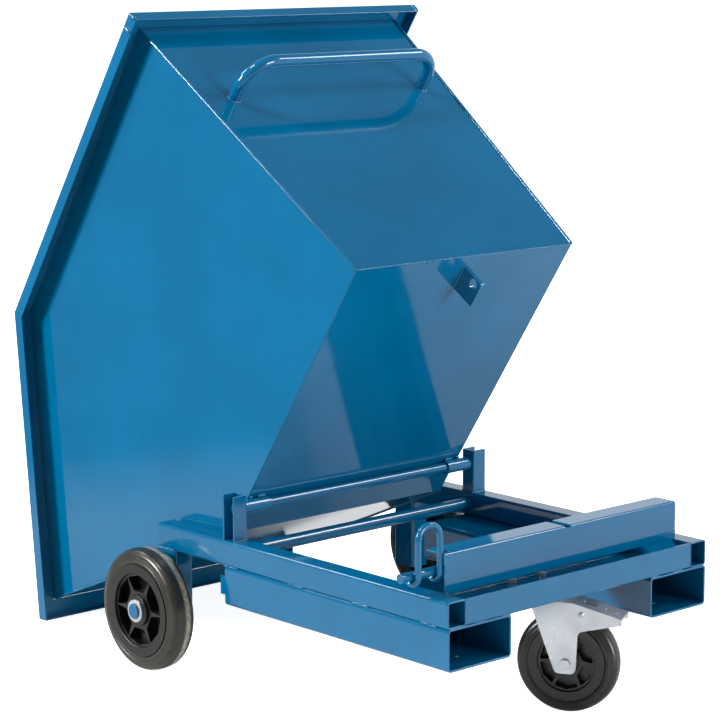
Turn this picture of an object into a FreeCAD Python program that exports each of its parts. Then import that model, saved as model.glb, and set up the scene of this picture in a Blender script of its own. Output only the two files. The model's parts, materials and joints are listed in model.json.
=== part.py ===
import FreeCAD, Part
import math
import os

# A tipping skip trolley: a sheet steel skip that pivots on a three-wheeled frame with fork pockets.
# Millimetres. +Z is up and the floor is z = 0. X runs towards the castor, Y to the operator's right.
# The frame is laid out from its castor end, x = 0, and everything is centred on the floor at the end.

V = FreeCAD.Vector

# Base frame, square to the floor
frame_width = 700.0
member_width = 45.0
member_height = 50.0
member_wall = 3.0
member_length = 850.0
member_corner = 5.0
pocket_width = 160.0
pocket_height = 80.0
pocket_wall = 4.0
pocket_length = 635.0
pocket_corner = 8.0
drain_hole = 10.0
drain_setback = 60.0
tongue_length = 14.0
tongue_height = 38.0

# Castor channel, stop beam and cross tube
channel_depth = 165.0
channel_wall = 4.0
channel_bend = 5.0
beam_setback = 46.5
beam_flange = 51.0
beam_wall = 4.0
beam_bend = 5.0
beam_seat = 7.0
cross_tube_diameter = 26.9
cross_tube_wall = 2.6
cross_tube_setback = 625.0

# Uprights and pivot
upright_size = 35.0
upright_wall = 4.0
upright_bend = 4.0
upright_height = 91.0
upright_setback = 610.0
upright_inset = 5.0
pivot_offset = 1.0
pivot_rise = 62.0
pivot_diameter = 20.0
pivot_clearance = 0.1
pivot_fit = 0.1
pivot_end = 10.0
sleeve_diameter = 28.0
sleeve_length = 66.0
sleeve_end_gap = 1.0
pivot_washer_diameter = 24.0
pivot_washer_thickness = 3.0
split_pin_diameter = 4.0
split_pin_overhang = 6.0
split_pin_gap = 0.5

# Fixed wheels and their axles
wheel_diameter = 250.0
wheel_width = 57.0
wheel_seat_radius = 94.0
wheel_hub_length = 60.0
wheel_hub_radius = 32.0
hub_edge = 2.0
wheel_gap = 19.0
wheel_setback = 824.0
bearing_radius = 23.0
axle_diameter = 30.0
axle_clearance = 0.1
axle_fit = 0.1
axle_end = 4.0
ring_diameter = 46.0
ring_thickness = 4.0
ring_gap = 0.5
spacer_radius = 22.0

# Axle legs
leg_depth = 60.0
leg_wall = 4.0
leg_corner = 6.0
leg_below = 33.0

# Wheel mouldings
pocket_count = 6
rim_band = 19.0
spoke_width = 11.0
web_thickness = 6.0
rim_recess = 5.0
tyre_shoulder = 14.0
tyre_bead = 4.0
tyre_groove_width = 3.0
tyre_groove_depth = 1.5
tyre_groove_share = 0.52

# Swivel castor
castor_height = 240.0
castor_setback = 95.0
castor_swivel_deg = 30.0
castor_diameter = 200.0
castor_width = 50.0
castor_seat_radius = 75.0
castor_hub_radius = 24.0
castor_bush_radius = 15.0
castor_trail = 45.0
castor_plate_length = 135.0
castor_plate_width = 110.0
castor_plate_thickness = 5.0
castor_plate_corner = 10.0
castor_hole_length = 105.0
castor_hole_width = 80.0
castor_slot_length = 16.0
castor_slot_share = 0.48
castor_bolt_diameter = 10.0
castor_bolt_gap = 0.5
castor_bolt_head = 7.0
castor_bolt_flats = 17.0
castor_nut_height = 8.0
castor_bolt_spare = 4.0
race_radius = 38.0
race_height = 15.0
race_gap = 0.5
kingpin_diameter = 16.0
kingpin_head_diameter = 30.0
kingpin_head = 3.0
kingpin_nut_flats = 24.0
kingpin_nut_height = 8.0
fork_wall = 4.0
fork_tyre_gap = 3.0
fork_back = 22.0
fork_back_drop = 12.0
fork_hood = 60.0
fork_nose = 153.0
fork_nose_drop = 25.0
fork_nose_depth = 12.0
fork_tip_radius = 20.0
fork_tip_corner = 12.0
fork_leg_front = 24.0
fork_leg_drop = 57.0
fork_corner = 12.0
hood_slot_length = 24.0
hood_slot_width = 12.0
hood_slot_pitch = 42.0
castor_axle_diameter = 12.0
castor_axle_clearance = 0.1
castor_axle_flats = 19.0
castor_axle_head = 7.5
castor_axle_spare = 4.0
castor_hub_gap = 0.5

# Skip body
sheet = 3.0
skip_side_gap = 21.0
side_flare = 52.0
skip_height = 727.0
bottom_overhang = 88.5
rear_wall_lean = 33.7
knee_overhang = 20.6
chute_reach = 537.45
chute_rise = 353.43
rim_flange = 37.0
rim_lip = 25.0
rest_gap = 0.5

# Push handle on the rear wall
handle_diameter = 25.0
handle_wall = 2.5
handle_height = 498.0
handle_span = 500.0
handle_reach = 91.0
handle_bend = 64.0

# Locking lug under the skip
lug_y = 9.0
lug_plate = 10.0
lug_width = 54.0
lug_depth = 57.0
lug_corner = 5.0
eye_setback = 39.0
eye_drop = 37.5
eye_diameter = 21.0
lug_ahead = 41.0
slit_gap = 3.0

# Latch bolt, its pull loop and its guides
bolt_diameter = 18.0
bolt_clearance = 0.5
bolt_beam_gap = 15.5
bolt_tail = 398.0
bolt_tip_gap = 1.0
bolt_chamfer = 3.0
latch_travel = 14.0
loop_rod = 12.0
loop_width = 54.0
loop_height = 92.0
loop_overhang = 1.0
loop_fit = 0.3
notch_gap = 1.5
guide_thickness = 8.0
guide_width = 44.0
guide_below = 16.0
guide_end_offset = 87.0
guide_lug_gap = 6.0

# Levels and places that follow from the sizes above
seam_z = castor_height
deck_z = seam_z + member_height
pocket_z = seam_z - pocket_height
axle_z = wheel_diameter / 2
frame_y = frame_width / 2
member_inner_y = frame_y - member_width
upright_y = member_inner_y + upright_inset
pivot_x = -(upright_setback + upright_size / 2 + pivot_offset)
pivot_z = deck_z + pivot_rise
sleeve_radius = sleeve_diameter / 2
beam_top = pivot_z + sleeve_radius - rest_gap
beam_back = beam_setback + beam_wall
beam_half = member_inner_y + beam_seat
axle_x = -wheel_setback
wheel_y = frame_y + wheel_gap + wheel_width / 2
hub_outer_y = wheel_y + wheel_hub_length / 2
hub_inner_y = wheel_y - wheel_hub_length / 2
ring_y = hub_outer_y + ring_gap
axle_end_y = ring_y + ring_thickness + axle_end
castor_place = V(-castor_setback, 0, 0)
castor_wheel_z = castor_diameter / 2
plate_z = castor_height - castor_plate_thickness
fork_top = plate_z - race_height
fork_inner = castor_width / 2 + fork_tyre_gap
fork_outer = fork_inner + fork_wall
skip_bottom_width = 2 * (upright_y - skip_side_gap)
skip_top_width = skip_bottom_width + 2 * side_flare
taper = side_flare / skip_height
bolt_radius = bolt_diameter / 2
bolt_x = -(beam_back + bolt_beam_gap + bolt_radius)
bolt_z = pivot_z + sleeve_radius - eye_drop
eye_reach = bolt_x - pivot_x
skip_bottom_length = bottom_overhang + eye_reach + eye_setback
lug_near_y = lug_y - lug_plate / 2
lug_far_y = lug_y + lug_plate / 2
loop_hook = bolt_radius + loop_fit + loop_rod / 2
loop_x = bolt_x + loop_hook
loop_y = -(beam_half + loop_overhang)
same_point = 1e-6


# Helpers for sections, plates and round bars

def rounded_wire(corners, place):
    """Closed wire through the corners (u, v, r), each rounded by its radius r; place lays (u, v) in space."""
    count = len(corners)
    stops = []
    for i in range(count):
        u, v, r = corners[i]
        back = V(corners[i - 1][0] - u, corners[i - 1][1] - v, 0).normalize()
        ahead = V(corners[(i + 1) % count][0] - u, corners[(i + 1) % count][1] - v, 0).normalize()
        corner = V(u, v, 0)
        if r <= 0:
            stops.append((corner, None, corner))
            continue
        half = back.getAngle(ahead) / 2
        inward = (back + ahead).normalize()
        run = r / math.tan(half)
        middle = corner + inward * (r / math.sin(half) - r)
        stops.append((corner + back * run, middle, corner + ahead * run))
    edges = []
    for i in range(count):
        start, middle, end = (place(p.x, p.y) if p else None for p in stops[i])
        if middle:
            edges.append(Part.Arc(start, middle, end).toShape())
        onward = stops[(i + 1) % count][0]
        following = place(onward.x, onward.y)
        if (following - end).Length > same_point:
            edges.append(Part.LineSegment(end, following).toShape())
    return Part.Wire(edges)


def plate(corners, place, direction):
    """A flat plate: the rounded outline extruded along a direction."""
    return Part.Face(rounded_wire(corners, place)).extrude(direction)


def polygon_prism(points, direction):
    """A prism on a flat polygon of points in space."""
    return Part.Face(Part.makePolygon(points + points[:1])).extrude(direction)


def along_x(x):
    return lambda u, v: V(x, u, v)


def along_y(y):
    return lambda u, v: V(u, y, v)


def along_z(z):
    return lambda u, v: V(u, v, z)


def block(x0, x1, y0, y1, z0, z1):
    """A box between two corners."""
    return Part.makeBox(x1 - x0, y1 - y0, z1 - z0, V(x0, y0, z0))


def bar_y(radius, y0, y1, x=0.0, z=0.0):
    """A round bar along Y."""
    return Part.makeCylinder(radius, y1 - y0, V(x, y0, z), V(0, 1, 0))


def bar_z(radius, z0, z1, x=0.0, y=0.0):
    """A round bar along Z."""
    return Part.makeCylinder(radius, z1 - z0, V(x, y, z0), V(0, 0, 1))


def hexagon(flats, z0, z1, x=0.0, y=0.0):
    """A hexagon along Z, given by its width across flats."""
    reach = flats / math.sqrt(3)
    corners = [(x + reach * math.cos(math.radians(60 * i)), y + reach * math.sin(math.radians(60 * i)), 0)
               for i in range(6)]
    return plate(corners, along_z(z0), V(0, 0, z1 - z0))


def turned(corners):
    """A ring turned about the Y axis from a section of rounded corners (y, radius, r)."""
    return Part.Face(rounded_wire(corners, along_x(0))).revolve(V(0, 0, 0), V(0, 1, 0), 360)


def box_section(width, height, corner):
    """Corners of a rounded rectangle centred on u = 0 that stands on v = 0."""
    u = width / 2
    return [(-u, 0, corner), (u, 0, corner), (u, height, corner), (-u, height, corner)]


def flat_section(length, width, corner):
    """Corners of a rounded rectangle centred on the origin."""
    u, v = length / 2, width / 2
    return [(-u, -v, corner), (u, -v, corner), (u, v, corner), (-u, v, corner)]


def box_tube(width, height, wall, corner, length, y, z):
    """A rectangular tube along -X from the castor end, open at both ends."""
    run = V(-length, 0, 0)
    outer = plate(box_section(width, height, corner), along_x(0), run)
    hollow = plate(box_section(width - 2 * wall, height - 2 * wall, corner - wall), along_x(0), run)
    hollow.translate(V(0, 0, wall))
    tube = outer.cut(hollow)
    tube.translate(V(0, y, z))
    return tube


def mirrored(shape):
    """The same piece on the other side of the trolley."""
    return shape.mirror(V(0, 0, 0), V(0, 1, 0))


# Base frame

def side_member():
    """Square tube that carries the uprights, here the left one."""
    return box_tube(member_width, member_height, member_wall, member_corner, member_length,
                    -(frame_y - member_width / 2), seam_z)


def fork_pocket():
    """Rectangular tube for a fork tine, with a drain hole in its floor and a tongue on its outer wall."""
    y = -(frame_y - pocket_width / 2)
    tube = box_tube(pocket_width, pocket_height, pocket_wall, pocket_corner, pocket_length, y, pocket_z)
    tongue_z = pocket_z + (pocket_height - tongue_height) / 2
    tongue = block(-(pocket_length + tongue_length), -pocket_length, -frame_y, -(frame_y - pocket_wall),
                   tongue_z, tongue_z + tongue_height)
    tube = tube.fuse(tongue).removeSplitter()
    return tube.cut(bar_z(drain_hole / 2, pocket_z, pocket_z + pocket_wall, -drain_setback, y))


def castor_channel():
    """Upturned channel between the side members, with the castor bolted under its floor."""
    corners = [
        (0, seam_z, channel_bend),
        (0, deck_z, 0),
        (-channel_wall, deck_z, 0),
        (-channel_wall, seam_z + channel_wall, channel_bend - channel_wall),
        (-(channel_depth - channel_wall), seam_z + channel_wall, channel_bend - channel_wall),
        (-(channel_depth - channel_wall), deck_z, 0),
        (-channel_depth, deck_z, 0),
        (-channel_depth, seam_z, channel_bend),
    ]
    channel = plate(corners, along_y(-member_inner_y), V(0, 2 * member_inner_y, 0))
    for x, y in castor_holes():
        channel = channel.cut(bar_z(castor_bolt_diameter / 2 + castor_bolt_gap, seam_z, deck_z, x, y))
    return channel


def stop_beam():
    """Folded angle on the side members that the skip's bottom comes down on.

    Its top flange is slit for the locking lug and notched at the left end for a leg of the pull loop."""
    corners = [
        (-beam_setback, deck_z, 0),
        (-beam_setback, beam_top, beam_bend),
        (-(beam_setback + beam_flange), beam_top, 0),
        (-(beam_setback + beam_flange), beam_top - beam_wall, 0),
        (-beam_back, beam_top - beam_wall, beam_bend - beam_wall),
        (-beam_back, deck_z, 0),
    ]
    beam = plate(corners, along_y(-beam_half), V(0, 2 * beam_half, 0))
    under = beam_top - beam_wall
    back = -(beam_setback + beam_flange)
    slit = block(back, -beam_setback, lug_near_y - slit_gap, lug_far_y + slit_gap, under, beam_top)
    room = loop_rod / 2 + notch_gap
    notch = block(loop_x - room, loop_x + room, -beam_half, loop_y + latch_travel + room, under, beam_top)
    return beam.cut(slit).cut(notch)


def cross_tube():
    """Round tube between the side members below the uprights, at half their height."""
    radius = cross_tube_diameter / 2
    x, z = -cross_tube_setback, seam_z + member_height / 2
    outer = bar_y(radius, -member_inner_y, member_inner_y, x, z)
    return outer.cut(bar_y(radius - cross_tube_wall, -member_inner_y, member_inner_y, x, z))


def upright():
    """Short channel on the left side member, its web inwards and bored for the pivot bar."""
    x0 = -(upright_setback + upright_size)
    x1 = -upright_setback
    outer_y = -(upright_y + upright_size)
    inside = upright_bend - upright_wall
    corners = [
        (x0, outer_y, 0),
        (x0, -upright_y, upright_bend),
        (x1, -upright_y, upright_bend),
        (x1, outer_y, 0),
        (x1 - upright_wall, outer_y, 0),
        (x1 - upright_wall, -(upright_y + upright_wall), inside),
        (x0 + upright_wall, -(upright_y + upright_wall), inside),
        (x0 + upright_wall, outer_y, 0),
    ]
    channel = plate(corners, along_z(deck_z), V(0, 0, upright_height))
    bore = bar_y(pivot_diameter / 2 + pivot_fit, -(upright_y + upright_wall), -upright_y, pivot_x, pivot_z)
    return channel.cut(bore)


def axle_leg():
    """Short upright box tube under the rear end of the left side member, bored for the stub axle."""
    low = axle_z - leg_below
    up = V(0, 0, seam_z - low)
    y = -(frame_y - member_width / 2)
    hollow_depth, hollow_width = leg_depth - 2 * leg_wall, member_width - 2 * leg_wall
    leg = plate(flat_section(leg_depth, member_width, leg_corner), along_z(low), up)
    leg = leg.cut(plate(flat_section(hollow_depth, hollow_width, leg_corner - leg_wall), along_z(low), up))
    leg.translate(V(axle_x, y, 0))
    return leg.cut(bar_y(axle_diameter / 2 + axle_fit, -frame_y, -member_inner_y, axle_x, axle_z))


def stub_axle():
    """Round axle through both walls of the left leg, with the wheel on its outer end."""
    return bar_y(axle_diameter / 2, -axle_end_y, -member_inner_y, axle_x, axle_z)


def wheel_spacer():
    """Tube on the axle between the leg and the hub of the left wheel."""
    outer = bar_y(spacer_radius, -(hub_inner_y - ring_gap), -frame_y, axle_x, axle_z)
    return outer.cut(bar_y(axle_diameter / 2 + axle_fit, -hub_inner_y, -frame_y, axle_x, axle_z))


def wheel_ring():
    """Push-on ring that keeps the left wheel on its axle."""
    outer = bar_y(ring_diameter / 2, -(ring_y + ring_thickness), -ring_y, axle_x, axle_z)
    return outer.cut(bar_y(axle_diameter / 2 + axle_fit, -(ring_y + ring_thickness), -ring_y, axle_x, axle_z))


# Wheels, turned about the Y axis at the origin

def tyre(radius, width, seat):
    """Solid rubber tyre with round shoulders and a groove in each side wall."""
    half = width / 2
    ring = turned([
        (-half, seat, tyre_bead),
        (half, seat, tyre_bead),
        (half, radius, tyre_shoulder),
        (-half, radius, tyre_shoulder),
    ])
    middle = seat + (radius - seat) * tyre_groove_share
    low, high = middle - tyre_groove_width / 2, middle + tyre_groove_width / 2
    for side in (-1, 1):
        face = side * half
        floor = side * (half - tyre_groove_depth)
        ring = ring.cut(turned([(face, low, 0), (face, high, 0), (floor, high, 0), (floor, low, 0)]))
    return ring


def wheel_rim(seat, width, hub_radius, hub_length, bore):
    """Moulded plastic wheel centre: band, web and hub, with pockets that leave spokes on both faces."""
    half = width / 2
    hub = hub_length / 2
    band = seat - rim_band
    face = half - rim_recess
    centre = turned([
        (-half, seat, 0),
        (half, seat, 0),
        (half, band, rim_recess / 2),
        (face, band, 0),
        (face, hub_radius, 0),
        (hub, hub_radius, hub_edge),
        (hub, bore, 0),
        (-hub, bore, 0),
        (-hub, hub_radius, hub_edge),
        (-face, hub_radius, 0),
        (-face, band, 0),
        (-half, band, rim_recess / 2),
    ])
    inner = hub_radius + web_thickness
    outer = band - web_thickness / 2
    pitch = math.tan(math.pi / pocket_count)
    gap = spoke_width / 2 / math.cos(math.pi / pocket_count)
    corner = web_thickness / 2
    outline = [
        (inner * pitch - gap, inner, corner),
        (outer * pitch - gap, outer * math.cos(math.pi / pocket_count), corner),
        (0, outer, 0),
        (gap - outer * pitch, outer * math.cos(math.pi / pocket_count), corner),
        (gap - inner * pitch, inner, corner),
    ]
    for side in (-1, 1):
        pocket = plate(outline, along_y(side * web_thickness / 2), V(0, side * (face - web_thickness / 2), 0))
        for i in range(pocket_count):
            turn = pocket.copy()
            turn.rotate(V(0, 0, 0), V(0, 1, 0), 360 / pocket_count * i)
            centre = centre.cut(turn)
    return centre


def sleeve(outer, inner, length):
    """A plain tube along Y, centred on the origin."""
    return bar_y(outer, -length / 2, length / 2).cut(bar_y(inner, -length / 2, length / 2))


def on_left_axle(shape):
    """Carries a wheel piece from the origin to the left stub axle."""
    shape.translate(V(axle_x, -wheel_y, axle_z))
    return shape


# Swivel castor, with its swivel axis on the origin and its wheel trailing along +X

def castor_holes():
    """Places of the four castor bolts on the frame."""
    return [(castor_place.x + sx * castor_hole_length / 2, castor_place.y + sy * castor_hole_width / 2)
            for sx in (-1, 1) for sy in (-1, 1)]


def castor_plate():
    """Top plate with four slotted holes and a bore for the kingpin, fixed to the frame."""
    up = V(0, 0, castor_plate_thickness)
    section = flat_section(castor_plate_length, castor_plate_width, castor_plate_corner)
    shape = plate(section, along_z(plate_z), up)
    shape.translate(castor_place)
    slot_width = castor_bolt_diameter + 2 * castor_bolt_gap
    slot = flat_section(castor_slot_length, slot_width, slot_width * castor_slot_share)
    for x, y in castor_holes():
        hole = plate(slot, along_z(plate_z), up)
        hole.translate(V(x, y, 0))
        shape = shape.cut(hole)
    bore = bar_z(kingpin_diameter / 2 + pivot_fit, plate_z, castor_height, castor_place.x, castor_place.y)
    recess = bar_z(kingpin_head_diameter / 2 + pivot_fit, castor_height - kingpin_head, castor_height,
                   castor_place.x, castor_place.y)
    return shape.cut(bore).cut(recess)


def castor_race():
    """Bearing housing pressed under the top plate, which the fork swivels on."""
    shape = bar_z(race_radius, fork_top + race_gap, plate_z)
    shape = shape.makeFillet(race_height / 4, [shape.Edges[0], shape.Edges[2]])
    shape = shape.cut(bar_z(kingpin_diameter / 2 + pivot_fit, fork_top, plate_z))
    shape.translate(castor_place)
    return shape


def castor_kingpin():
    """Flush-headed pin through the top plate, the race and the fork."""
    low = fork_top - fork_wall - race_gap - kingpin_nut_height
    shape = bar_z(kingpin_diameter / 2, low, castor_height)
    shape = shape.fuse(bar_z(kingpin_head_diameter / 2, castor_height - kingpin_head, castor_height))
    shape.translate(castor_place)
    return shape.removeSplitter()


def castor_kingpin_nut():
    """Nut on the kingpin under the fork's crown."""
    high = fork_top - fork_wall - race_gap
    shape = hexagon(kingpin_nut_flats, high - kingpin_nut_height, high)
    shape = shape.cut(bar_z(kingpin_diameter / 2, high - kingpin_nut_height, high))
    shape.translate(castor_place)
    return shape


def castor_bolts():
    """Four hexagon bolts, put in from below."""
    solids = []
    low = plate_z - castor_bolt_head
    high = seam_z + channel_wall + castor_nut_height + castor_bolt_spare
    for x, y in castor_holes():
        head = hexagon(castor_bolt_flats, low, plate_z, x, y)
        shank = bar_z(castor_bolt_diameter / 2, plate_z, high, x, y)
        solids.append(head.fuse(shank).removeSplitter())
    return Part.makeCompound(solids)


def castor_nuts():
    """Four nuts on the channel's floor."""
    low = seam_z + channel_wall
    solids = []
    for x, y in castor_holes():
        nut = hexagon(castor_bolt_flats, low, low + castor_nut_height, x, y)
        solids.append(nut.cut(bar_z(castor_bolt_diameter / 2, low, low + castor_nut_height, x, y)))
    return Part.makeCompound(solids)


def castor_fork():
    """Pressed fork: two cheeks that hold the axle, a flat crown and a hood that slopes to a nose."""
    low = castor_wheel_z - fork_tip_radius
    nose_top = fork_top - fork_nose_drop
    leg_x = castor_trail + fork_leg_front
    cheek_corners = [
        (-fork_back, fork_top, 0),
        (-fork_back, fork_top - fork_back_drop, fork_corner),
        (castor_trail - fork_tip_radius, low, fork_tip_corner),
        (castor_trail + fork_tip_radius, low, fork_tip_corner),
        (leg_x, fork_top - fork_leg_drop, fork_corner),
        (fork_nose, nose_top - fork_nose_depth, 0),
        (fork_nose, nose_top, 0),
        (fork_hood, fork_top, 0),
    ]
    crown_corners = [
        (-fork_back, fork_top, 0),
        (fork_hood, fork_top, 0),
        (fork_nose, nose_top, 0),
        (fork_nose, nose_top - fork_wall, 0),
        (fork_hood, fork_top - fork_wall, 0),
        (-fork_back, fork_top - fork_wall, 0),
    ]
    fork = plate(crown_corners, along_y(-fork_outer), V(0, 2 * fork_outer, 0))
    for y in (-fork_outer, fork_inner):
        fork = fork.fuse(plate(cheek_corners, along_y(y), V(0, fork_wall, 0)))
    fork = fork.removeSplitter()
    fork = fork.cut(bar_z(kingpin_diameter / 2 + pivot_clearance, fork_top - fork_wall, fork_top))
    axle_hole = castor_axle_diameter / 2 + pivot_fit
    fork = fork.cut(bar_y(axle_hole, -fork_outer, fork_outer, castor_trail, castor_wheel_z))
    middle = (fork_hood + fork_nose) / 2
    for place in (middle - hood_slot_pitch / 2, middle + hood_slot_pitch / 2):
        fork = fork.cut(block(place - hood_slot_length / 2, place + hood_slot_length / 2,
                              -hood_slot_width / 2, hood_slot_width / 2, nose_top - fork_wall, fork_top))
    return fork


def castor_axle():
    """Hexagon bolt through the fork and the wheel."""
    shank = bar_z(castor_axle_diameter / 2, -fork_outer, fork_outer + castor_axle_head + castor_axle_spare)
    head = hexagon(castor_axle_flats, -fork_outer - castor_axle_head, -fork_outer)
    return along_castor_axle(shank.fuse(head).removeSplitter())


def castor_axle_nut():
    """Nut on the far end of the castor's axle bolt."""
    nut = hexagon(castor_axle_flats, fork_outer, fork_outer + castor_axle_head)
    nut = nut.cut(bar_z(castor_axle_diameter / 2, fork_outer, fork_outer + castor_axle_head))
    return along_castor_axle(nut)


def along_castor_axle(shape):
    """Lays a bolt or nut made along Z on the castor's axle, with its head to -Y."""
    shape.rotate(V(0, 0, 0), V(1, 0, 0), -90)
    shape.translate(V(castor_trail, 0, castor_wheel_z))
    return shape


def on_castor_axle(shape):
    """Carries a wheel piece from the origin to the castor's axle."""
    shape.translate(V(castor_trail, 0, castor_wheel_z))
    return shape


def swivelled(shape):
    """Turns a castor piece to its angle in the picture and sets it under the frame."""
    shape.rotate(V(0, 0, 0), V(0, 0, 1), castor_swivel_deg)
    shape.translate(castor_place)
    return shape


# Skip, in its own frame: the pivot axis is the origin and the bottom lies flat

front_edge = V(-bottom_overhang, 0, sleeve_radius)
rear_edge = front_edge + V(skip_bottom_length, 0, 0)
rear_top = rear_edge + V(rear_wall_lean, 0, skip_height)
knee = front_edge + V(-knee_overhang, 0, skip_height)
mouth = front_edge + V(-chute_reach, 0, chute_rise)
mouth_run = (mouth - knee).normalize()
mouth_in = V(-mouth_run.z, 0, mouth_run.x)


def half_width(z):
    """Outer half width of the skip at a height in its own frame."""
    return skip_bottom_width / 2 + taper * (z - sleeve_radius)


def crossing(p, run, q, other):
    """Where two lines in the XZ plane meet, each given by a point and a direction."""
    share = ((q.x - p.x) * other.z - (q.z - p.z) * other.x) / (run.x * other.z - run.z * other.x)
    return p + run * share


def inner_line(p, q):
    """The line p-q moved inwards by the sheet's thickness, as a point and a direction."""
    run = (q - p).normalize()
    return p + V(-run.z, 0, run.x) * sheet, run


def wall_between(outer, inner):
    """A sheet across the skip from its outer and inner profile lines, trimmed to the side sheets."""
    reach = skip_top_width
    points = [V(p.x, -reach, p.z) for p in outer + inner]
    strip = polygon_prism(points, V(0, 2 * reach, 0))
    side = sheet * math.sqrt(1 + taper * taper)
    low, high = sleeve_radius - skip_height, rear_top.z + skip_height
    far = skip_bottom_length + chute_reach
    trim = [V(-far, y * (half_width(z) - side), z)
            for z, y in ((low, -1), (low, 1), (high, 1), (high, -1))]
    return strip.common(polygon_prism(trim, V(2 * far, 0, 0)))


def skip_walls():
    """Chute, bottom and rear wall, mitred where they meet."""
    chute_line = inner_line(mouth, front_edge)
    bottom_line = inner_line(front_edge, rear_edge)
    rear_line = inner_line(rear_edge, rear_top)
    at_mouth = crossing(*chute_line, knee, mouth_run)
    at_front = crossing(*chute_line, *bottom_line)
    at_rear = crossing(*bottom_line, *rear_line)
    at_top = crossing(*rear_line, rear_top, V(1, 0, 0))
    chute = wall_between([mouth, front_edge], [at_front, at_mouth])
    bottom = wall_between([front_edge, rear_edge], [at_rear, at_front])
    rear = wall_between([rear_edge, rear_top], [at_top, at_rear])
    return chute, bottom, rear


def skip_side():
    """Left side sheet, a flat five-cornered panel that leans outwards."""
    points = [V(p.x, -half_width(p.z), p.z) for p in (front_edge, rear_edge, rear_top, knee, mouth)]
    return polygon_prism(points, V(0, sheet * math.sqrt(1 + taper * taper), 0))


def rim_strip(inner_a, inner_b, outer_a, outer_b, inset_a, inset_b, inward):
    """One straight run of the rim: a flange, and a lip turned down along its outer edge."""
    flange = polygon_prism([inner_a, inner_b, outer_b, outer_a], inward * sheet)
    lip = polygon_prism([inset_a, inset_b, outer_b, outer_a], inward * rim_lip)
    return flange.fuse(lip).removeSplitter()


def rim_corner(point, run, out, side):
    """A point of the rim: out past the sheet along run and sideways, on the left (-1) or right (1)."""
    return V(point.x, side * (half_width(point.z) + out), point.z) + run * out


def rim_rear():
    """Rim along the rear wall."""
    run = V(1, 0, 0)
    rows = [[rim_corner(rear_top, run, out, side) for side in (-1, 1)]
            for out in (0, rim_flange, rim_flange - sheet)]
    return rim_strip(*rows[0], *rows[1], *rows[2], V(0, 0, -1))


def rim_front():
    """Rim along the pouring edge, which stands on the floor when the skip is tipped."""
    rows = [[rim_corner(mouth, mouth_run, out, side) for side in (-1, 1)]
            for out in (0, rim_flange, rim_flange - sheet)]
    return rim_strip(*rows[0], *rows[1], *rows[2], mouth_in)


def rim_side():
    """Left rim, bent at the knee and mitred to the rear and front rims."""
    level = []
    slope = []
    for out in (0, rim_flange, rim_flange - sheet):
        at_rear = rim_corner(rear_top, V(1, 0, 0), out, -1)
        at_knee = rim_corner(knee, V(0, 0, 0), out, -1)
        at_mouth = rim_corner(mouth, mouth_run, out, -1)
        level += [at_rear, at_knee]
        slope += [at_knee, at_mouth]
    return rim_strip(*level, V(0, 0, -1)).fuse(rim_strip(*slope, mouth_in)).removeSplitter()


def pivot_sleeve():
    """Left pivot tube, welded under the bottom and turning on the pivot bar."""
    outer_y = -(upright_y - sleeve_end_gap)
    tube = bar_y(sleeve_radius, outer_y, outer_y + sleeve_length)
    return tube.cut(bar_y(pivot_diameter / 2 + pivot_clearance, outer_y, outer_y + sleeve_length))


def swept_tube(edges, start, heading, radius, wall):
    """A round tube along a path of lines and tangent arcs."""
    path = Part.Wire(edges)
    outer = path.makePipeShell([Part.Wire(Part.Circle(start, heading, radius).toShape())], True, False)
    inner = path.makePipeShell([Part.Wire(Part.Circle(start, heading, radius - wall).toShape())], True, False)
    return outer.cut(inner)


def push_handle():
    """Bent tube handle that stands square off the rear wall on two welded feet."""
    up = (rear_top - rear_edge).normalize()
    out = V(up.z, 0, -up.x)
    foot = rear_edge + up * handle_height
    half = handle_span / 2
    bend = handle_bend
    knuckle = bend * (1 - math.sqrt(0.5))

    def spot(reach, y):
        return foot + out * reach + V(0, y, 0)

    edges = [
        Part.LineSegment(spot(0, -half), spot(handle_reach - bend, -half)),
        Part.Arc(spot(handle_reach - bend, -half), spot(handle_reach - knuckle, knuckle - half),
                 spot(handle_reach, bend - half)),
        Part.LineSegment(spot(handle_reach, bend - half), spot(handle_reach, half - bend)),
        Part.Arc(spot(handle_reach, half - bend), spot(handle_reach - knuckle, half - knuckle),
                 spot(handle_reach - bend, half)),
        Part.LineSegment(spot(handle_reach - bend, half), spot(0, half)),
    ]
    path = [edge.toShape() for edge in edges]
    return swept_tube(path, spot(0, -half), out, handle_diameter / 2, handle_wall)


def locking_lug():
    """Plate welded under the bottom near its rear edge, bored for the latch bolt."""
    left, right = eye_reach - lug_ahead, eye_reach - lug_ahead + lug_width
    low = sleeve_radius - lug_depth
    high = sleeve_radius
    corners = [(left, high, 0), (right, high, 0), (right, low, lug_corner), (left, low, lug_corner)]
    lug = plate(corners, along_y(lug_near_y), V(0, lug_plate, 0))
    return lug.cut(bar_y(eye_diameter / 2, lug_near_y, lug_far_y, eye_reach, sleeve_radius - eye_drop))


def contact_angle(point):
    """Tip of the skip, in degrees, at which a point of its profile comes down to the floor."""
    reach = math.hypot(point.x, point.z)
    return math.degrees(math.atan2(point.z, -point.x) + math.asin(pivot_z / reach))


rim_edge = mouth + mouth_run * rim_flange
tip_deg = min(contact_angle(rim_edge), contact_angle(rim_edge + mouth_in * rim_lip))


def tipped(shape):
    """Sets a skip piece on the pivot, tipped until the pouring rim stands on the floor."""
    shape.rotate(V(0, 0, 0), V(0, 1, 0), -tip_deg)
    shape.translate(V(pivot_x, 0, pivot_z))
    return shape


# Pivot bar and its fastenings, fixed in the uprights

def pivot_bar():
    """Round bar through both uprights, cross-drilled at its ends for the split pins."""
    half = upright_y + upright_wall + pivot_washer_thickness + split_pin_diameter + pivot_end
    bar = bar_y(pivot_diameter / 2, -half, half, pivot_x, pivot_z)
    for side in (-1, 1):
        bar = bar.cut(split_pin(side, pivot_diameter / 2))
    return bar


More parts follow.
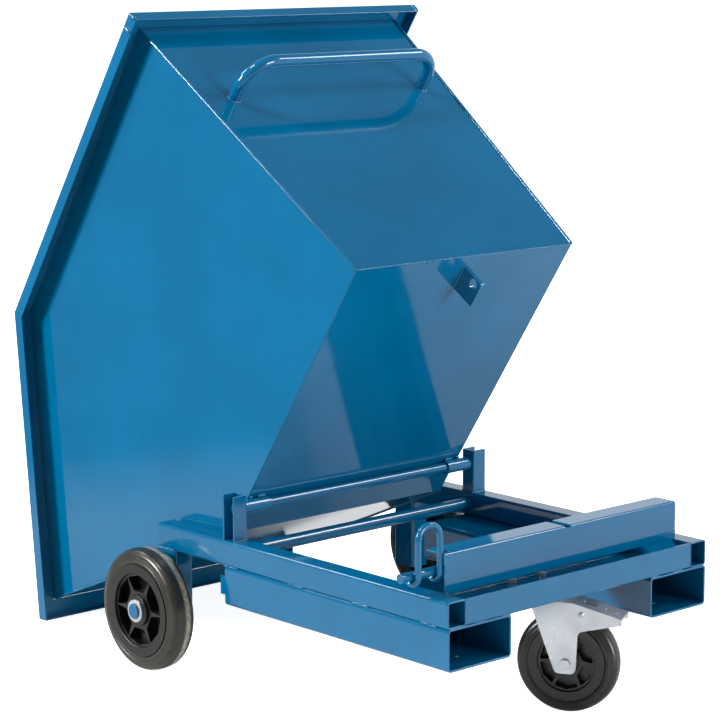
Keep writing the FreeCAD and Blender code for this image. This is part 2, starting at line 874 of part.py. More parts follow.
def split_pin(side, reach):
    """A pin upright through the pivot bar outside its washer, on the left (-1) or right (1)."""
    washer_face = upright_y + upright_wall + pivot_washer_thickness
    y = side * (washer_face + split_pin_gap + split_pin_diameter / 2)
    return bar_z(split_pin_diameter / 2, pivot_z - reach, pivot_z + reach, pivot_x, y)


def pivot_washers():
    """One washer outside each upright's web."""
    solids = []
    for side in (-1, 1):
        face = side * (upright_y + upright_wall)
        low = min(face, face + side * pivot_washer_thickness)
        washer = bar_y(pivot_washer_diameter / 2, low, low + pivot_washer_thickness, pivot_x, pivot_z)
        bore = bar_y(pivot_diameter / 2 + pivot_fit, low, low + pivot_washer_thickness, pivot_x, pivot_z)
        solids.append(washer.cut(bore))
    return Part.makeCompound(solids)


def split_pins():
    """Split pins that keep the pivot bar in place."""
    reach = pivot_diameter / 2 + split_pin_overhang
    return Part.makeCompound([split_pin(side, reach) for side in (-1, 1)])


# Latch: a bolt that slides along Y behind the stop beam and into the lug's eye

def latch_bolt():
    """Round bolt with a chamfered tip, drawn back so that its tip stands clear of the lug."""
    tip_y = lug_near_y - bolt_tip_gap
    bolt = bar_y(bolt_radius, -bolt_tail, tip_y - bolt_chamfer, bolt_x, bolt_z)
    tip = Part.makeCone(bolt_radius, bolt_radius - bolt_chamfer, bolt_chamfer,
                        V(bolt_x, tip_y - bolt_chamfer, bolt_z), V(0, 1, 0))
    return bolt.fuse(tip).removeSplitter()


def half_ring(radius, rod):
    """Half a ring of round rod about Z, from +X through +Y to -X."""
    return Part.makeTorus(radius, rod, V(0, 0, 0), V(0, 0, 1), 0, 360, 180)


def pull_loop():
    """Bow of round rod at the end of the stop beam, its two legs hooked under the bolt and welded."""
    rod = loop_rod / 2
    bend = loop_width / 2
    high = bolt_z + loop_height - bend
    bow = half_ring(bend, rod)
    bow.rotate(V(0, 0, 0), V(1, 0, 0), 90)
    bow.rotate(V(0, 0, 0), V(0, 0, 1), 90)
    bow.translate(V(loop_x, loop_y - bend, high))
    for y in (loop_y, loop_y - loop_width):
        hook = half_ring(loop_hook, rod)
        hook.rotate(V(0, 0, 0), V(1, 0, 0), -90)
        hook.translate(V(bolt_x, y, bolt_z))
        bow = bow.fuse(hook).fuse(bar_z(rod, bolt_z, high, loop_x, y))
    return bow.removeSplitter()


def latch_guides():
    """Two bored plates in the corner behind the stop beam that guide the bolt."""
    front, back = -beam_back, -(beam_back + guide_width)
    low, high = bolt_z - guide_below, beam_top - beam_wall
    snip = beam_bend - beam_wall
    corners = [
        (back, low, 0),
        (front, low, 0),
        (front, high - snip, 0),
        (front - snip, high, 0),
        (back, high, 0),
    ]
    solids = []
    for y in (-beam_half + guide_end_offset, lug_near_y - bolt_tip_gap - guide_lug_gap - guide_thickness):
        guide = plate(corners, along_y(y), V(0, guide_thickness, 0))
        bore = bar_y(bolt_radius + bolt_clearance, y, y + guide_thickness, bolt_x, bolt_z)
        solids.append(guide.cut(bore))
    return Part.makeCompound(solids)


# The whole trolley, one node for each piece

def left_and_right(nodes, name, shape):
    """Adds a piece of the left side and its mirror image on the right."""
    nodes[name + "_left"] = shape
    nodes[name + "_right"] = mirrored(shape)


def trolley():
    """Every piece by its name, in place."""
    nodes = {}
    left_and_right(nodes, "side_member", side_member())
    left_and_right(nodes, "fork_pocket", fork_pocket())
    nodes["castor_channel"] = castor_channel()
    nodes["stop_beam"] = stop_beam()
    nodes["cross_tube"] = cross_tube()
    left_and_right(nodes, "pivot_upright", upright())
    left_and_right(nodes, "axle_leg", axle_leg())
    left_and_right(nodes, "stub_axle", stub_axle())
    left_and_right(nodes, "wheel_spacer", wheel_spacer())
    left_and_right(nodes, "wheel_ring", wheel_ring())
    nodes["pivot_bar"] = pivot_bar()
    nodes["pivot_washers"] = pivot_washers()
    nodes["pivot_split_pins"] = split_pins()

    bore = axle_diameter / 2 + axle_clearance
    wheel = {
        "wheel_tyre": tyre(wheel_diameter / 2, wheel_width, wheel_seat_radius),
        "wheel_rim": wheel_rim(wheel_seat_radius, wheel_width, wheel_hub_radius, wheel_hub_length,
                               bearing_radius),
        "wheel_bearing": sleeve(bearing_radius, bore, wheel_hub_length),
    }
    for name, shape in wheel.items():
        left_and_right(nodes, name, on_left_axle(shape))

    castor_hub = 2 * (fork_inner - castor_hub_gap)
    castor_bore = castor_axle_diameter / 2 + castor_axle_clearance
    castor_wheel = {
        "castor_tyre": tyre(castor_diameter / 2, castor_width, castor_seat_radius),
        "castor_rim": wheel_rim(castor_seat_radius, castor_width, castor_hub_radius, castor_hub,
                                castor_bush_radius),
        "castor_bush": sleeve(castor_bush_radius, castor_bore, castor_hub),
    }
    nodes["castor_plate"] = castor_plate()
    nodes["castor_race"] = castor_race()
    nodes["castor_kingpin"] = castor_kingpin()
    nodes["castor_kingpin_nut"] = castor_kingpin_nut()
    nodes["castor_bolts"] = castor_bolts()
    nodes["castor_nuts"] = castor_nuts()
    nodes["castor_fork"] = swivelled(castor_fork())
    nodes["castor_axle"] = swivelled(castor_axle())
    nodes["castor_axle_nut"] = swivelled(castor_axle_nut())
    for name, shape in castor_wheel.items():
        nodes[name] = swivelled(on_castor_axle(shape))

    chute, bottom, rear = skip_walls()
    skip = {"skip_chute": chute, "skip_bottom": bottom, "skip_rear_wall": rear}
    left_and_right(skip, "skip_side", skip_side())
    skip["rim_rear"] = rim_rear()
    skip["rim_front"] = rim_front()
    left_and_right(skip, "rim_side", rim_side())
    left_and_right(skip, "pivot_sleeve", pivot_sleeve())
    skip["push_handle"] = push_handle()
    skip["locking_lug"] = locking_lug()
    for name, shape in skip.items():
        nodes[name] = tipped(shape)

    nodes["latch_bolt"] = latch_bolt()
    nodes["latch_pull_loop"] = pull_loop()
    nodes["latch_guides"] = latch_guides()
    return nodes


def floor_centre(nodes):
    """The point on the floor under the middle of the trolley's box."""
    box = FreeCAD.BoundBox()
    for shape in nodes.values():
        box.add(shape.optimalBoundingBox(False, False))
    return V(box.Center.x, 0, 0)


pieces = trolley()
origin = floor_centre(pieces)
os.makedirs("parts", exist_ok=True)
for name, shape in pieces.items():
    shape.translate(-origin)
    shape.exportStep(os.path.join("parts", name + ".step"))
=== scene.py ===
import json
import math

import bmesh
import bpy
import numpy as np
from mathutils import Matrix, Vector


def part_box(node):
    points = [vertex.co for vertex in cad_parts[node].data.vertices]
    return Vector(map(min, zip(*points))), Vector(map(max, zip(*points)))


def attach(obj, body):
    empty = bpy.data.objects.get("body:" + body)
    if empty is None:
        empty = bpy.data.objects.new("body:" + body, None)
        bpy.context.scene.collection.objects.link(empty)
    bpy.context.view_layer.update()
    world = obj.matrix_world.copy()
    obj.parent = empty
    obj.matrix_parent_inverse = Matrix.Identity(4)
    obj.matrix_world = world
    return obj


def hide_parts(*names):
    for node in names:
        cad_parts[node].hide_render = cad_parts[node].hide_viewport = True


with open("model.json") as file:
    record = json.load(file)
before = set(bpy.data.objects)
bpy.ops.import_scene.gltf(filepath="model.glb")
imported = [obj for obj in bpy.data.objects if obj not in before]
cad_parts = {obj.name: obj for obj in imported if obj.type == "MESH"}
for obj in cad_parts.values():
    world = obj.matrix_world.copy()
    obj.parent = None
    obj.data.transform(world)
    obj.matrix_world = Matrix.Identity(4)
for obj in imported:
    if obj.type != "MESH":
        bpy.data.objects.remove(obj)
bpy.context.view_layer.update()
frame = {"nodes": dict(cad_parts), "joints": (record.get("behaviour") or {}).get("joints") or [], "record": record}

# Base frame: square tubes, fork pockets, folded channel and stop beam, uprights and axle legs.
# Mild steel stock, sawn and folded, welded together and powder coated in gloss blue.
# Its cut edges are slightly rounded where the coat flows over them.


def linear(code):
    """Linear colour of an sRGB hex value: below 0.04045 divided by 12.92, above it a 2.4 power curve."""
    srgb = np.array([int(code[i:i + 2], 16) for i in (1, 3, 5)]) / 255
    rgb = np.where(srgb <= 0.04045, srgb / 12.92, ((srgb + 0.055) / 1.055) ** 2.4)
    return (*rgb.tolist(), 1.0)


def add(tree, kind, inputs, **settings):
    """A node of that kind with its settings, its inputs set to values or linked from sockets."""
    node = tree.nodes.new(kind)
    for name, value in settings.items():
        setattr(node, name, value)
    for key, value in inputs.items():
        if isinstance(value, bpy.types.NodeSocket):
            tree.links.new(value, node.inputs[key])
        else:
            node.inputs[key].default_value = value
    return node


def new_finish(name):
    """A new material with its node tree, its surface shader and the piece's own coordinates."""
    finish = bpy.data.materials.new(name)
    finish.use_nodes = True
    tree = finish.node_tree
    place = add(tree, "ShaderNodeTexCoord", {}).outputs["Object"]
    return finish, tree, tree.nodes["Principled BSDF"], place


def powder_coat(name, main, shade, wave_depth):
    """Gloss powder coat on steel: an even blue with faint clouds, orange peel and a slightly wavy sheet.

    The peel's real cells are about 1 mm; they are drawn at 3 mm so that they show in the render."""
    finish, tree, shader, place = new_finish(name)
    cloud_size, dust_size, hand_size, wave_size, peel_size = 0.22, 0.006, 0.09, 0.28, 0.003
    peel_depth = 0.00012
    clouds = add(tree, "ShaderNodeTexNoise", {"Vector": place, "Scale": 1 / cloud_size,
                                              "Detail": 4.0, "Roughness": 0.55})
    tone = add(tree, "ShaderNodeValToRGB", {"Fac": clouds.outputs["Fac"]})
    for stop, position, code in zip(tone.color_ramp.elements, (0.35, 0.68), (shade, main)):
        stop.position, stop.color = position, linear(code)
    dust = add(tree, "ShaderNodeTexNoise", {"Vector": place, "Scale": 1 / dust_size,
                                            "Detail": 3.0, "Roughness": 0.7})
    specks = add(tree, "ShaderNodeMapRange", {"Value": dust.outputs["Fac"], "From Min": 0.66, "From Max": 0.8,
                                              "To Min": 0.0, "To Max": 0.25})
    dusty = add(tree, "ShaderNodeMix", {"Factor": specks.outputs["Result"], 6: tone.outputs["Color"],
                                        7: linear("#8fb2c8")}, data_type="RGBA")
    tree.links.new(dusty.outputs[2], shader.inputs["Base Color"])
    hands = add(tree, "ShaderNodeTexNoise", {"Vector": place, "Scale": 1 / hand_size,
                                             "Detail": 5.0, "Roughness": 0.6})
    gloss = add(tree, "ShaderNodeMapRange", {"Value": hands.outputs["Fac"], "From Min": 0.3, "From Max": 0.75,
                                             "To Min": 0.035, "To Max": 0.075})
    tree.links.new(gloss.outputs["Result"], shader.inputs["Roughness"])
    wave = add(tree, "ShaderNodeTexNoise", {"Vector": place, "Scale": 1 / wave_size, "Detail": 1.0})
    rolled = add(tree, "ShaderNodeBump", {"Height": wave.outputs["Fac"], "Strength": 1.0,
                                          "Distance": wave_depth})
    peel = add(tree, "ShaderNodeTexNoise", {"Vector": place, "Scale": 1 / peel_size, "Detail": 1.0})
    skin = add(tree, "ShaderNodeBump", {"Height": peel.outputs["Fac"], "Normal": rolled.outputs["Normal"],
                                        "Strength": 0.35, "Distance": peel_depth})
    tree.links.new(skin.outputs["Normal"], shader.inputs["Normal"])
    return finish


bodies = frame["record"]["behaviour"]["bodies"]
body_of = {node: body for body, nodes in bodies.items() for node in nodes}


def softened(node, material, edge):
    """A copy of a CAD solid with its flat facets merged and its sharp edges rounded by that radius."""
    same_point, flat_angle, sharp_angle = 1e-6, math.radians(0.4), math.radians(35)
    mesh = frame["nodes"][node].data.copy()
    shell = bmesh.new()
    shell.from_mesh(mesh)
    bmesh.ops.remove_doubles(shell, verts=shell.verts, dist=same_point)
    bmesh.ops.dissolve_limit(shell, angle_limit=flat_angle, verts=shell.verts, edges=shell.edges)
    shell.to_mesh(mesh)
    shell.free()
    mesh.polygons.foreach_set("use_smooth", np.ones(len(mesh.polygons), bool))
    mesh.materials.clear()
    mesh.materials.append(material)
    piece = bpy.data.objects.new(node + "_finished", mesh)
    bpy.context.collection.objects.link(piece)
    rounded = piece.modifiers.new("rounded", "BEVEL")
    rounded.width = edge
    rounded.segments = 2
    rounded.limit_method = "ANGLE"
    rounded.angle_limit = sharp_angle
    piece.modifiers.new("shading", "WEIGHTED_NORMAL").keep_sharp = True
    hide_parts(node)
    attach(piece, body_of[node])


# Painted shade: the frame's coat is the skip's blue made about a tenth darker, so that the tubes' sides read as
# less brightly lit than the skip's sheets.
frame_paint = powder_coat("gloss_blue_powder_coat_on_tube", "#00608b", "#005881", wave_depth=0.0006)
for node in ("side_member_left", "side_member_right", "fork_pocket_left", "fork_pocket_right",
             "castor_channel", "stop_beam", "pivot_upright_left", "pivot_upright_right",
             "axle_leg_left", "axle_leg_right", "latch_guides"):
    softened(node, frame_paint, edge=0.0012)
for node in ("cross_tube", "pivot_bar", "stub_axle_left", "stub_axle_right"):
    softened(node, frame_paint, edge=0.001)

# Frame welds: short runs of gas-shielded weld along the seams, laid before the powder coat.
# They are steel under the same blue coat, rounded and rippled like overlapping scales.
# The ripples are about 2 mm apart in fact, and drawn at 4 mm so that they show.


def put(name, points, faces, material, body):
    """A smooth mesh piece in the row frame from its points and faces, riding on a body."""
    mesh = bpy.data.meshes.new(name)
    mesh.from_pydata(points.tolist(), [], faces.tolist())
    mesh.polygons.foreach_set("use_smooth", np.ones(len(mesh.polygons), bool))
    mesh.materials.append(material)
    piece = bpy.data.objects.new(name, mesh)
    bpy.context.collection.objects.link(piece)
    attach(piece, body)
    return piece


def grid_faces(rows, columns, wrap_rows, wrap_columns):
    """Quads of a grid of points, row by row, joined to its start where it wraps."""
    last_r = rows if wrap_rows else rows - 1
    last_c = columns if wrap_columns else columns - 1
    r, c = np.meshgrid(np.arange(last_r), np.arange(last_c), indexing="ij")
    r2, c2 = (r + 1) % rows, (c + 1) % columns
    corners = [r * columns + c, r * columns + c2, r2 * columns + c2, r2 * columns + c]
    return np.stack(corners, -1).reshape(-1, 4)


def cap_faces(count):
    """Quads that close a ring of an even count of points, each from side to side."""
    i = np.arange(count // 2 - 1)
    return np.stack([i, i + 1, count - 2 - i, count - 1 - i], 1)


def straight(start, end):
    """Points along a straight run, one for each 0.6 mm of its length and 12 at least."""
    step, fewest = 0.0006, 12
    start, end = np.array(start, float), np.array(end, float)
    count = max(fewest, int(np.linalg.norm(end - start) / step))
    return start + (end - start) * np.linspace(0, 1, count)[:, None]


# No weld runs in this direction, so a direction square to it and to the run is always found.
askew = (0.31, 0.87, 0.38)


def ring(centre, axis, radius):
    """Points round a full circle about an axis, about 2 degrees apart."""
    axis = np.array(axis, float) / np.linalg.norm(axis)
    across = np.cross(axis, askew)
    across = across / np.linalg.norm(across)
    turn = np.linspace(0, 2 * np.pi, 180)[:, None]
    outwards = np.cos(turn) * across + np.sin(turn) * np.cross(axis, across)
    return np.array(centre, float) + radius * outwards


def bead(path, radius, ripple=0.2):
    """A round bead along a path: its radius swells with each ripple, whose crests curve back at the sides,
    wanders by a few percent as two sines, and closes in a quarter circle at both ends."""
    pitch, curve_back, sides, least_end = 0.004, 0.25, 14, 0.02
    tangent = np.gradient(path, axis=0)
    tangent = tangent / np.linalg.norm(tangent, axis=1)[:, None]
    across = np.cross(tangent, askew)
    across = across / np.linalg.norm(across, axis=1)[:, None]
    over = np.cross(tangent, across)
    run = np.concatenate([[0], np.cumsum(np.linalg.norm(np.diff(path, axis=0), axis=1))])
    ends = np.clip(np.minimum(run, run[-1] - run) / radius, least_end, 1)
    close = np.sqrt(1 - (1 - ends) ** 2)
    turn = np.linspace(0, 2 * np.pi, sides, endpoint=False)
    crest = np.abs(np.sin(np.pi * (run[:, None] / pitch + curve_back * np.cos(turn))))
    # Two sines whose lengths don't fit together, started from the bead's own place, so no two are alike.
    slow = 0.35 * np.sin(run * 310 + path[0, 0] * 91)
    quick = 0.25 * np.sin(run * 733 + path[0, 1] * 57)
    wander = 1 + ripple * (slow + quick)
    swell = radius * (1 - ripple + ripple * crest) * (wander * close)[:, None]
    outwards = np.cos(turn)[:, None] * across[:, None] + np.sin(turn)[:, None] * over[:, None]
    points = path[:, None] + swell[..., None] * outwards
    start_cap = cap_faces(sides)[:, ::-1]
    end_cap = cap_faces(sides) + (len(path) - 1) * sides
    faces = np.concatenate([grid_faces(len(path), sides, False, True), start_cap, end_cap])
    return points.reshape(-1, 3), faces


def weld_run(start, end, radius, ripple=0.2):
    """A bead along a straight run."""
    return bead(straight(start, end), radius, ripple)


def weld(name, beads, body, paint):
    """All the beads of one body as one painted piece, with the points numbered on from bead to bead."""
    starts = np.cumsum([0] + [len(points) for points, faces in beads[:-1]])
    all_points = np.concatenate([points for points, faces in beads])
    all_faces = np.concatenate([faces + start for (points, faces), start in zip(beads, starts)])
    put(name, all_points, all_faces, paint, body)


frame_beads = []
stitch_places, stitch_length = (0.035, 0.25, 0.47, 0.7), 0.045
channel_stitches = ((0.19, 0.215), (0.255, 0.285))
# Beads stop short of corners, tube ends and folds, and are sunk a little behind the faces they join.
short_of_corner, short_of_end, above_fold, up_the_beam = 0.004, 0.002, 0.006, 0.02
stitch_sunk, leg_sunk, channel_sunk, beam_sunk = 0.0025, 0.0015, 0.001, 0.002
beam_low, beam_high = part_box("stop_beam")
tube_low, tube_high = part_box("cross_tube")
for side, inward in (("left", 1), ("right", -1)):
    member_low, member_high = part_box("side_member_" + side)
    outer, inner = (member_low.y, member_high.y)[::inward]
    castor_end, seam, deck = member_high.x, member_low.z, member_high.z
    y = outer + inward * stitch_sunk
    for share in stitch_places:
        x = castor_end - share * (castor_end - member_low.x)
        frame_beads.append(weld_run((x - stitch_length, y, seam), (x, y, seam), radius=0.0032))
    leg_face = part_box("axle_leg_" + side)[1].x
    frame_beads.append(weld_run((leg_face, outer + inward * short_of_corner, seam),
                                (leg_face, inner - inward * short_of_corner, seam), radius=0.003))
    y = outer + inward * leg_sunk
    frame_beads.append(weld_run((member_low.x + short_of_end, y, seam),
                                (leg_face - short_of_corner, y, seam), radius=0.0028))
    foot_low, foot_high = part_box("pivot_upright_" + side)
    tip, web = (foot_low.y, foot_high.y)[::inward]
    frame_beads.append(weld_run((foot_low.x, web, deck), (foot_high.x, web, deck), radius=0.003))
    for x in (foot_high.x, foot_low.x):
        frame_beads.append(weld_run((x, tip, deck), (x, web, deck), radius=0.003))
    x = castor_end - channel_sunk
    frame_beads.append(weld_run((x, inner, seam + above_fold), (x, inner, deck - short_of_corner),
                                radius=0.0022))
    x = castor_end - stitch_sunk
    for near, far in channel_stitches:
        frame_beads.append(weld_run((x, -inward * near, seam), (x, -inward * far, seam), radius=0.003))
    end = beam_low.y if side == "left" else beam_high.y
    frame_beads.append(weld_run((beam_high.x, end, deck), (beam_high.x, inner, deck), radius=0.0025))
    x = beam_high.x - beam_sunk
    frame_beads.append(weld_run((x, end, deck), (x, end, deck + up_the_beam), radius=0.002))
    middle = ((tube_low.x + tube_high.x) / 2, inner, (tube_low.z + tube_high.z) / 2)
    frame_beads.append(bead(ring(middle, (0, 1, 0), (tube_high.z - tube_low.z) / 2), radius=0.0026))
weld("frame_welds", frame_beads, "frame", frame_paint)

# Wheels: moulded plastic centres on zinc-plated bearings, with solid rubber tyres.
# The tyres are moulded round the centres; push-on rings keep the wheels on their axles.
# Bearings, spacers and rings are zinc plated, like the castor's pieces.


def rubber(name):
    """Moulded black rubber: nearly black and satin, with a fine grain, and pale dust on the rolling track.

    The grain is under 1 mm in fact, and drawn at 2.5 mm so that it shows."""
    finish, tree, shader, place = new_finish(name)
    bloom_size, smear_size, grain_size, grain_depth = 0.03, 0.008, 0.0025, 0.0002
    bloom = add(tree, "ShaderNodeTexNoise", {"Vector": place, "Scale": 1 / bloom_size,
                                             "Detail": 6.0, "Roughness": 0.65})
    tone = add(tree, "ShaderNodeValToRGB", {"Fac": bloom.outputs["Fac"]})
    for stop, position, code in zip(tone.color_ramp.elements, (0.35, 0.75), ("#090908", "#1a1a16")):
        stop.position, stop.color = position, linear(code)
    track = add(tree, "ShaderNodeAttribute", {}, attribute_name="track").outputs["Fac"]
    smear = add(tree, "ShaderNodeTexNoise", {"Vector": place, "Scale": 1 / smear_size,
                                             "Detail": 4.0, "Roughness": 0.6})
    patch = add(tree, "ShaderNodeMapRange", {"Value": smear.outputs["Fac"], "From Min": 0.3, "From Max": 0.65,
                                             "To Min": 0.3, "To Max": 0.9})
    dust = add(tree, "ShaderNodeMath", {0: track, 1: patch.outputs["Result"]}, operation="MULTIPLY")
    dusty = add(tree, "ShaderNodeMix", {"Factor": dust.outputs["Value"], 6: tone.outputs["Color"],
                                        7: linear("#c2bba8")}, data_type="RGBA")
    tree.links.new(dusty.outputs[2], shader.inputs["Base Color"])
    matt = add(tree, "ShaderNodeMapRange", {"Value": bloom.outputs["Fac"], "To Min": 0.2, "To Max": 0.42})
    tree.links.new(matt.outputs["Result"], shader.inputs["Roughness"])
    grain = add(tree, "ShaderNodeTexNoise", {"Vector": place, "Scale": 1 / grain_size, "Detail": 2.0})
    skin = add(tree, "ShaderNodeBump", {"Height": grain.outputs["Fac"], "Strength": 0.4,
                                        "Distance": grain_depth})
    tree.links.new(skin.outputs["Normal"], shader.inputs["Normal"])
    return finish


def polyamide(name):
    """Black moulded polyamide: satin, with a fine spark-eroded grain and slight scuffs.

    The grain is about 0.1 mm in fact, and drawn at 1.5 mm so that it shows."""
    finish, tree, shader, place = new_finish(name)
    scuff_size, grain_size, grain_depth = 0.02, 0.0015, 0.0001
    scuffs = add(tree, "ShaderNodeTexNoise", {"Vector": place, "Scale": 1 / scuff_size,
                                              "Detail": 6.0, "Roughness": 0.7})
    tone = add(tree, "ShaderNodeValToRGB", {"Fac": scuffs.outputs["Fac"]})
    for stop, position, code in zip(tone.color_ramp.elements, (0.4, 0.8), ("#0a0a0a", "#181817")):
        stop.position, stop.color = position, linear(code)
    tree.links.new(tone.outputs["Color"], shader.inputs["Base Color"])
    satin = add(tree, "ShaderNodeMapRange", {"Value": scuffs.outputs["Fac"], "To Min": 0.24, "To Max": 0.42})
    tree.links.new(satin.outputs["Result"], shader.inputs["Roughness"])
    grain = add(tree, "ShaderNodeTexNoise", {"Vector": place, "Scale": 1 / grain_size, "Detail": 1.0})
    skin = add(tree, "ShaderNodeBump", {"Height": grain.outputs["Fac"], "Strength": 0.3,
                                        "Distance": grain_depth})
    tree.links.new(skin.outputs["Normal"], shader.inputs["Normal"])
    return finish


def zinc(name):
    """Bright zinc plating on steel: pale grey metal, cloudy gloss and a faint drawn grain.

    The grain is about 0.1 mm in fact, and drawn at 1.2 mm so that it shows."""
    finish, tree, shader, place = new_finish(name)
    cloud_size, grain_size, grain_depth = 0.04, 0.0012, 0.0001
    cloud = add(tree, "ShaderNodeTexNoise", {"Vector": place, "Scale": 1 / cloud_size,
                                             "Detail": 4.0, "Roughness": 0.5})
    tone = add(tree, "ShaderNodeValToRGB", {"Fac": cloud.outputs["Fac"]})
    for stop, position, code in zip(tone.color_ramp.elements, (0.3, 0.75), ("#b3b7bb", "#ced2d5")):
        stop.position, stop.color = position, linear(code)
    tree.links.new(tone.outputs["Color"], shader.inputs["Base Color"])
    shader.inputs["Metallic"].default_value = 0.6
    gloss = add(tree, "ShaderNodeMapRange", {"Value": cloud.outputs["Fac"], "To Min": 0.22, "To Max": 0.3})
    tree.links.new(gloss.outputs["Result"], shader.inputs["Roughness"])
    grain = add(tree, "ShaderNodeTexNoise", {"Vector": place, "Scale": 1 / grain_size, "Detail": 2.0})
    skin = add(tree, "ShaderNodeBump", {"Height": grain.outputs["Fac"], "Strength": 0.1,
                                        "Distance": grain_depth})
    tree.links.new(skin.outputs["Normal"], shader.inputs["Normal"])
    return finish


def tyre_section(outer, seat, width):
    """Half section of a tyre as (distance from the mid-plane, radius), then its mirror image.

    From the seat the side wall bulges as a sine and carries a moulded ring line; a quarter round
    makes the shoulder; the tread is crowned as a parabola."""
    shoulder, inset, bulge, spread, crown = 0.015, 0.0025, 0.002, 0.0005, 0.0012
    line_place, line_width, line_depth = 0.55, 0.05, 0.0012
    climb = np.linspace(0, 1, 40)
    wall_r = seat + (outer - shoulder - seat) * climb
    line = np.exp(-((climb - line_place) / line_width) ** 2)
    wall_y = width / 2 - inset + bulge * np.sin(np.pi * climb) + spread * climb - line_depth * line
    turn = np.linspace(0, np.pi / 2, 14)[1:]
    round_y = wall_y[-1] - shoulder * (1 - np.cos(turn))
    round_r = wall_r[-1] + shoulder * np.sin(turn) - crown * np.sin(turn)
    flat_y = np.linspace(round_y[-1], 0, 10)[1:]
    flat_r = outer - crown * (flat_y / round_y[-1]) ** 2
    y = np.concatenate([wall_y, round_y, flat_y])
    r = np.concatenate([wall_r, round_r, flat_r])
    return np.concatenate([y, -y[-2::-1]]), np.concatenate([r, r[-2::-1]])


def turned_tyre(name, centre, axle, outer, seat, width, dust, body):
    """A tyre: its section carried round the axle, closed along the seat, with the share of dust
    that each point carries, a trace all over and most on a band beside the middle of the tread."""
    tread_start, band_place, band_width, trace, most = 0.8, 0.1, 0.11, 0.05, 0.9
    y, r = tyre_section(outer, seat, width)
    turn = np.linspace(0, 2 * np.pi, 144, endpoint=False)
    axle = np.array(axle) / np.linalg.norm(axle)
    up = np.array([0.0, 0.0, 1.0])
    spoke = np.cos(turn)[:, None] * up + np.sin(turn)[:, None] * np.cross(axle, up)
    points = np.array(centre) + spoke[:, None, :] * r[None, :, None] + axle * y[None, :, None]
    faces = grid_faces(len(turn), len(y), True, True)
    tyre = put(name, points.reshape(-1, 3), faces, black_rubber, body)
    on_tread = r > seat + tread_start * (outer - seat)
    band = np.exp(-((y / width - band_place) / band_width) ** 4) * on_tread
    fade = dust * (trace + most * band)
    track = tyre.data.attributes.new("track", "FLOAT", "POINT")
    track.data.foreach_set("value", np.tile(fade, len(turn)).astype(np.float32))
    return tyre


black_rubber = rubber("moulded_black_rubber")
black_polyamide = polyamide("moulded_black_polyamide")
bright_zinc = zinc("bright_zinc_plated_steel")
joints = {joint["name"]: joint for joint in frame["joints"]}
for side in ("left", "right"):
    hub = joints["wheel_%s_spin" % side]["pos_m"]
    tyre = turned_tyre("wheel_tyre_%s_moulded" % side, hub, (0, 1, 0), outer=0.125, seat=0.094,
                       width=0.057, dust=1.0, body="wheel_" + side)
    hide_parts("wheel_tyre_" + side)
    softened("wheel_rim_" + side, black_polyamide, edge=0.0008)
    for node in ("wheel_bearing_", "wheel_spacer_", "wheel_ring_"):
        softened(node + side, bright_zinc, edge=0.0006)

# Swivel castor: pressed fork, top plate and race in zinc-plated sheet, on a kingpin.
# Its wheel is moulded like the fixed ones and turns on a bolt through the fork.
# Four bolts hold the plate under the channel, and each cheek of the fork carries a rivet.
spin = joints["castor_wheel_spin"]
castor_tyre = turned_tyre("castor_tyre_moulded", spin["pos_m"], spin["axis"], outer=0.1, seat=0.075,
                          width=0.05, dust=0.4, body="castor_wheel")
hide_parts("castor_tyre")
softened("castor_rim", black_polyamide, edge=0.0008)
softened("castor_fork", bright_zinc, edge=0.0016)
for node in ("castor_bush", "castor_axle", "castor_axle_nut", "castor_plate", "castor_race",
             "castor_kingpin", "castor_kingpin_nut", "castor_bolts", "castor_nuts"):
    softened(node, bright_zinc, edge=0.0006)


def rivet_head(foot, out, radius, rise):
    """A rivet's head: a dome whose height falls as a quarter wave of a cosine from its crown to its rim,
    on a short skirt that is sunk in the sheet."""
    skirt, sunk, fullness = 0.0004, 0.0005, 1.4
    out = np.array(out, float) / np.linalg.norm(out)
    across = np.cross(out, [0.0, 0.0, 1.0])
    part = np.concatenate([np.linspace(0.05, 1, 12), [1.0]])
    height = np.concatenate([rise * np.cos(np.pi / 2 * part[:-1] ** fullness) + skirt, [-sunk]])
    turn = np.linspace(0, 2 * np.pi, 40, endpoint=False)
    round_about = np.cos(turn)[:, None] * across + np.sin(turn)[:, None] * np.cross(out, across)
    spread = radius * part[None, :, None] * round_about[:, None, :]
    points = np.array(foot) + spread + height[None, :, None] * out
    crown = cap_faces(len(turn)) * len(part)
    base = crown[:, ::-1] + len(part) - 1
    faces = np.concatenate([grid_faces(len(turn), len(part), True, False), crown, base])
    return points.reshape(-1, 3), faces


cheek_face, rivet_forward, rivet_height = 0.032, 0.0307, 0.0987
wheel_out = np.array(spin["axis"])
forward = np.array([wheel_out[1], -wheel_out[0], 0.0])
for side, name in ((-1, "near"), (1, "far")):
    foot = np.array(spin["pos_m"]) + side * cheek_face * wheel_out + rivet_forward * forward
    foot = foot + np.array([0, 0, rivet_height])
    points, faces = rivet_head(foot, side * wheel_out, radius=0.0055, rise=0.0028)
    put("castor_fork_rivet_" + name, points, faces, bright_zinc, "castor_swivel")

# Pivot fastenings: a washer on the pivot bar outside each upright, and a split pin to keep it there.
# Both are zinc-plated steel.
for node in ("pivot_washers", "pivot_split_pins"):
    softened(node, bright_zinc, edge=0.0005)

